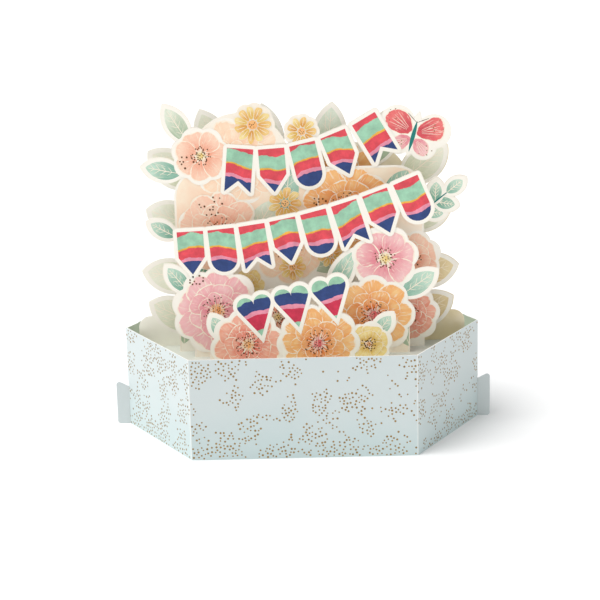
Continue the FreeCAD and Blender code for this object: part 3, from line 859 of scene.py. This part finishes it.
def print_third():
    paper = Print("sheet_third", 37)
    # The ground's cream foot is painted light against the shade cast by the second sheet.
    paper.ground(124, 94, 14, finish="peach ground")
    paper.within(61.2, 93)
    for x, z, length, turn, tone in (
            (-50, 40, 30, 60, "mint"), (-26, 56, 26, 58, "sage"), (-8, 68, 28, 82, "mint"),
            (20, 40, 30, 150, "sage"), (44, 74, 20, 60, "mint"), (38, 70, 16, 25, "sage"),
            (-60, 4, 26, 80, "sage")):
        paper.leaf(x, z, length, 12, turn, tone, 1, border=0)
    paper.bloom(-54, 22, 15, 8, "yellow", 5, border=0.2)
    paper.bloom(-6, 52, 18, 8, "blush", 5, border=0.2)
    paper.bloom(-40, 62, 21, 9, "peach", 18, border=0.2)
    paper.bloom(24, 72, 23, 9, "orange", 18, border=0.2, heart="berry")
    paper.bloom(-27, 34, 9, 7, "yellow", 18, border=0.2, heart="orange", rings=2)
    paper.daisy(-7, 76, 8.5, 9, 18)
    paper.daisy(-4, 43, 7, 8, 31)
    paper.daisy(15, 49, 6.5, 8, 31, turn=20)
    paper.within()
    paper.bloom(54, 17, 14, 8, "coral", 5, turn=6)
    paper.bloom(56, 46, 13, 7, "peach", 5, turn=20, rings=2)
    paper.bloom(-30, 98, 22.5, 10, "blush", 1, border=0)
    paper.leaf(-62, 60, 14, 7, 150, "mint", 1)
    paper.leaf(-58, 92, 18, 9, 168, "mint", 1)
    paper.leaf(-54, 108, 20, 9, 122, "sage", 1)
    paper.bloom(-48, 101, 13, 7, "peach", 14, turn=8, heart="yellow", rings=1)
    paper.daisy(-22, 116, 9.5, 11, 14)
    paper.daisy(2, 112, 7.5, 9, 14)
    paper.sprig(56, 66, 22, 38, 2, 10, 6, "mint", 1)
    butterfly(paper, 57, 109, 32, -16, 4)
    kinds = ["notched", "pointed", "round", "pointed", "notched"]
    flag_row(paper, 2, 111, kinds, "garland", 31, 3.4)
    paper.dots(-44, 76, 6, 14, "brown foil", 31)
    paper.dots(10, 75, 4, 11, "brown foil", 31)
    paper.dots(47, 83, 5.5, 13, "brown foil", 31)
    paper.dots(-55, 98, 3.5, 8, "brown foil", 27)
    paper.finish("third_print")


def print_back():
    paper = Print("sheet_back", 53)
    for height, length, turn in ((10, 26, 28), (34, 26, 12), (62, 24, 22), (84, 26, 38)):
        for side, tone in ((1, "straw" if height < 50 else "pale"), (-1, "pale")):
            angle = turn if side > 0 else 180 - turn
            paper.leaf(side * 52, height, length, 15, angle, tone, 0)
    for number, (x, turn) in enumerate(((-36, 112), (-14, 96), (14, 84), (36, 66))):
        paper.leaf(x, 92, 30, 14, turn, "sage" if x > 0 else "pale", 4 + 4 * (number % 2))
    paper.within(55.4, 103)
    paper.bloom(20, 82, 23, 9, "orange", 12, border=0.3, heart="berry")
    paper.bloom(-18, 84, 15, 8, "peach", 12, border=0.3)
    paper.bloom(52, 60, 12, 7, "yellow", 12, border=0.3)
    paper.finish("back_print")


# The sleeve's foil dots


def sleeve_sizes():
    """Half the length of the front panel, half the span between the outer folds, half the depth
    and the wall height, in metres."""
    low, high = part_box("sleeve_front")
    half_span, half_depth, wall = high.x, -low.y, high.z
    return half_span - half_depth / math.tan(FOLD_ANGLE), half_span, half_depth, wall


def dot_tree(material):
    """Foil dots scattered on a surface, thinned out to drifts by a noise field."""
    tree = bpy.data.node_groups.new("foil dots", "GeometryNodeTree")
    sizes = (("Dot Radius", 0.00054), ("Dot Spacing", 0.0014), ("Drifts", 76.0),
             ("Foot Height", 0.011), ("Wall Height", 0.052))
    tree.interface.new_socket("Geometry", in_out="INPUT", socket_type="NodeSocketGeometry")
    for name, value in sizes:
        socket = tree.interface.new_socket(name, in_out="INPUT", socket_type=NUMBER)
        socket.default_value = value
    tree.interface.new_socket("Geometry", in_out="OUTPUT", socket_type="NodeSocketGeometry")
    given = tree.nodes.new("NodeGroupInput").outputs
    result = tree.nodes.new("NodeGroupOutput")
    points = node(tree, "GeometryNodeDistributePointsOnFaces", {
        "Mesh": given["Geometry"], "Distance Min": given["Dot Spacing"],
        "Density Max": 900000.0, "Seed": 7}, distribute_method="POISSON")
    spot = node(tree, "GeometryNodeInputPosition").outputs[0]
    drift = node(tree, "ShaderNodeTexVoronoi", {"Vector": spot, "Scale": given["Drifts"]}).outputs[0]
    ragged = maths(tree, "MULTIPLY_ADD", noise(tree, spot, 260.0, 1.0), 1.0, -0.5)
    height = node(tree, "ShaderNodeSeparateXYZ", {0: spot}).outputs["Z"]
    foot = node(tree, "ShaderNodeMapRange", {
        "Value": height, "From Min": 0.0, "From Max": given["Foot Height"],
        "To Min": 0.26, "To Max": 0.0}).outputs["Result"]
    down = maths(tree, "SUBTRACT", given["Wall Height"], height)
    rim = node(tree, "ShaderNodeMapRange", {
        "Value": down, "From Min": 0.0, "From Max": given["Foot Height"],
        "To Min": 0.10, "To Max": 0.0}).outputs["Result"]
    reach = maths(tree, "ADD", maths(tree, "ADD", ragged, foot), maths(tree, "ADD", rim, 0.46))
    bare = maths(tree, "GREATER_THAN", drift, reach)
    kept = node(tree, "GeometryNodeDeleteGeometry", {
        "Geometry": points.outputs["Points"], "Selection": bare}, domain="POINT")
    dot = node(tree, "GeometryNodeMeshCylinder", {
        "Vertices": 8, "Radius": given["Dot Radius"], "Depth": 0.00003}).outputs["Mesh"]
    size = node(tree, "FunctionNodeRandomValue", {"Min": 0.7, "Max": 1.1, "Seed": 3})
    placed = node(tree, "GeometryNodeInstanceOnPoints", {
        "Points": kept.outputs[0], "Instance": dot,
        "Rotation": points.outputs["Rotation"]})
    tree.links.new(size.outputs["Value"], placed.inputs["Scale"])
    real = node(tree, "GeometryNodeRealizeInstances", {"Geometry": placed.outputs[0]})
    coated = node(tree, "GeometryNodeSetMaterial", {"Geometry": real.outputs[0], "Material": material})
    tree.links.new(coated.outputs[0], result.inputs[0])
    return tree


def make_dots(name, corners, wall, tree):
    """Dots on the outer faces of a run of the sleeve's panels, a little inside their edges."""
    margin = 0.0007
    mesh = bmesh.new()
    for (x, y), (next_x, next_y) in zip(corners, corners[1:]):
        run = Vector((next_x - x, next_y - y, 0))
        inset = run.normalized() * margin
        start, end = Vector((x, y, 0)) + inset, Vector((next_x, next_y, 0)) - inset
        low, high = Vector((0, 0, margin)), Vector((0, 0, wall - margin))
        mesh.faces.new([mesh.verts.new(p) for p in (start + low, end + low, end + high, start + high)])
    ground = placed(name + "_ground", mesh_data(name + "_ground", mesh))
    modifier = ground.modifiers.new("dots", "NODES")
    modifier.node_group = tree
    bpy.context.view_layer.update()
    made = bpy.data.meshes.new_from_object(ground.evaluated_get(bpy.context.evaluated_depsgraph_get()))
    bpy.data.objects.remove(ground)
    piece = placed(name, made)
    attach(piece, "root")


def make_sleeve_dots():
    half_panel, half_span, half_depth, wall = sleeve_sizes()
    tree = dot_tree(FINISHES["foil"])
    front = [(-half_span, 0), (-half_panel, -half_depth), (half_panel, -half_depth), (half_span, 0)]
    back = [(-x, -y) for x, y in front]
    make_dots("front_dots", front, wall, tree)
    make_dots("back_dots", back, wall, tree)


def back_colour(tree, place):
    """Pale wash on the back sheet: cream at its left, straw at its right."""
    across = node(tree, "ShaderNodeSeparateXYZ", {0: place}).outputs["X"]
    wash = blend(tree, spread(tree, across, 0.0, 0.07), rgb(tree, paint(251, 248, 234)),
                 rgb(tree, paint(232, 216, 178)))
    cloud = noise(tree, place, 34.0, 4.0, 0.6)
    return printed_face(tree, blend(tree, spread(tree, cloud, 0.4, 0.8), wash, rgb(tree, CREAM)))


def dress_cad_nodes():
    """Finishes of the pieces that keep their own shape."""
    half_panel, _, _, wall = sleeve_sizes()
    sleeve = sleeve_material(half_panel, wall)
    shelf = paper_material("shelf card", plain(paint(206, 209, 199)))
    rib = paper_material("rib card", plain(paint(204, 212, 212)))
    spacer = paper_material("spacer paper", plain(PAPER_WHITE))
    coats = {
        "sleeve_front": sleeve, "sleeve_back": sleeve, "shelf": shelf, "centre_rib": rib,
        "sheet_back": paper_material("back sheet", back_colour),
    }
    cream = sheet_material("cream sheet", CREAM, paint(250, 240, 224))
    coats.update((name, cream) for name in ("sheet_front", "sheet_second", "sheet_third"))
    for name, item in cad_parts.items():
        item.data.materials.clear()
        item.data.materials.append(coats.get(name, spacer))


def make_floor():
    """Plain pale floor that fades to the white of the background."""
    mesh = bmesh.new()
    reach = FLOOR_REACH
    corners = [(-reach, -reach, 0), (reach, -reach, 0), (reach, reach, 0), (-reach, reach, 0)]
    mesh.faces.new([mesh.verts.new(p) for p in corners])
    floor = placed("floor", mesh_data("floor", mesh))
    material = bpy.data.materials.new("pale floor")
    material.use_nodes = True
    tree = material.node_tree
    shader = tree.nodes["Principled BSDF"]
    place = node(tree, "ShaderNodeTexCoord").outputs["Object"]
    tone = blend(tree, noise(tree, place, 3.0), paint(247, 247, 247), paint(250, 250, 250))
    tree.links.new(tone, shader.inputs["Base Color"])
    shader.inputs["Roughness"].default_value = 0.9
    shader.inputs["Specular IOR Level"].default_value = 0.1
    floor.data.materials.append(material)
    floor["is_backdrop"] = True


def make_light():
    """Even white surroundings and one wide soft sun, high at the left."""
    world = bpy.data.worlds.new("studio")
    bpy.context.scene.world = world
    world.use_nodes = True
    tree = world.node_tree
    rays = node(tree, "ShaderNodeLightPath").outputs
    seen = maths(tree, "MAXIMUM", rays["Is Camera Ray"], rays["Is Glossy Ray"])
    seen = maths(tree, "MAXIMUM", seen, rays["Is Transmission Ray"])
    strength = maths(tree, "MULTIPLY_ADD", seen, 1.0 - AMBIENT, AMBIENT)
    surround = tree.nodes["Background"]
    surround.inputs["Color"].default_value = (1, 1, 1, 1)
    tree.links.new(strength, surround.inputs["Strength"])
    data = bpy.data.lights.new("sun", "SUN")
    data.energy = SUN_STRENGTH
    data.angle = SUN_WIDTH
    sun = placed("sun", data)
    sun.rotation_euler = (-Vector(SUN_FROM)).to_track_quat("-Z", "Y").to_euler()


def make_camera():
    """The photograph's view: level across, tilted down and turned a little about its own axis."""
    data = bpy.data.cameras.new("camera")
    data.sensor_width = CAMERA_SENSOR
    data.lens = CAMERA_LENS
    data.clip_start, data.clip_end = 0.05, 50.0
    camera = placed("camera", data)
    tilt = Matrix.Rotation(math.pi / 2 - CAMERA_PITCH, 4, "X")
    roll = Matrix.Rotation(CAMERA_ROLL, 4, "Z")
    camera.matrix_world = Matrix.Translation(CAMERA_PLACE) @ tilt @ roll
    bpy.context.scene.camera = camera


def write_sizes():
    """The frame's box and the visual model's box, as lists of corners."""
    boxes = {"cad": cad_box, "visual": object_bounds()}
    plain_boxes = {name: [list(corner) for corner in box] for name, box in boxes.items()}


bpy.context.scene.view_settings.view_transform = "Standard"
dress_cad_nodes()
print_front()
print_second()
print_third()
print_back()
make_sleeve_dots()
make_floor()
make_light()
make_camera()
write_sizes()
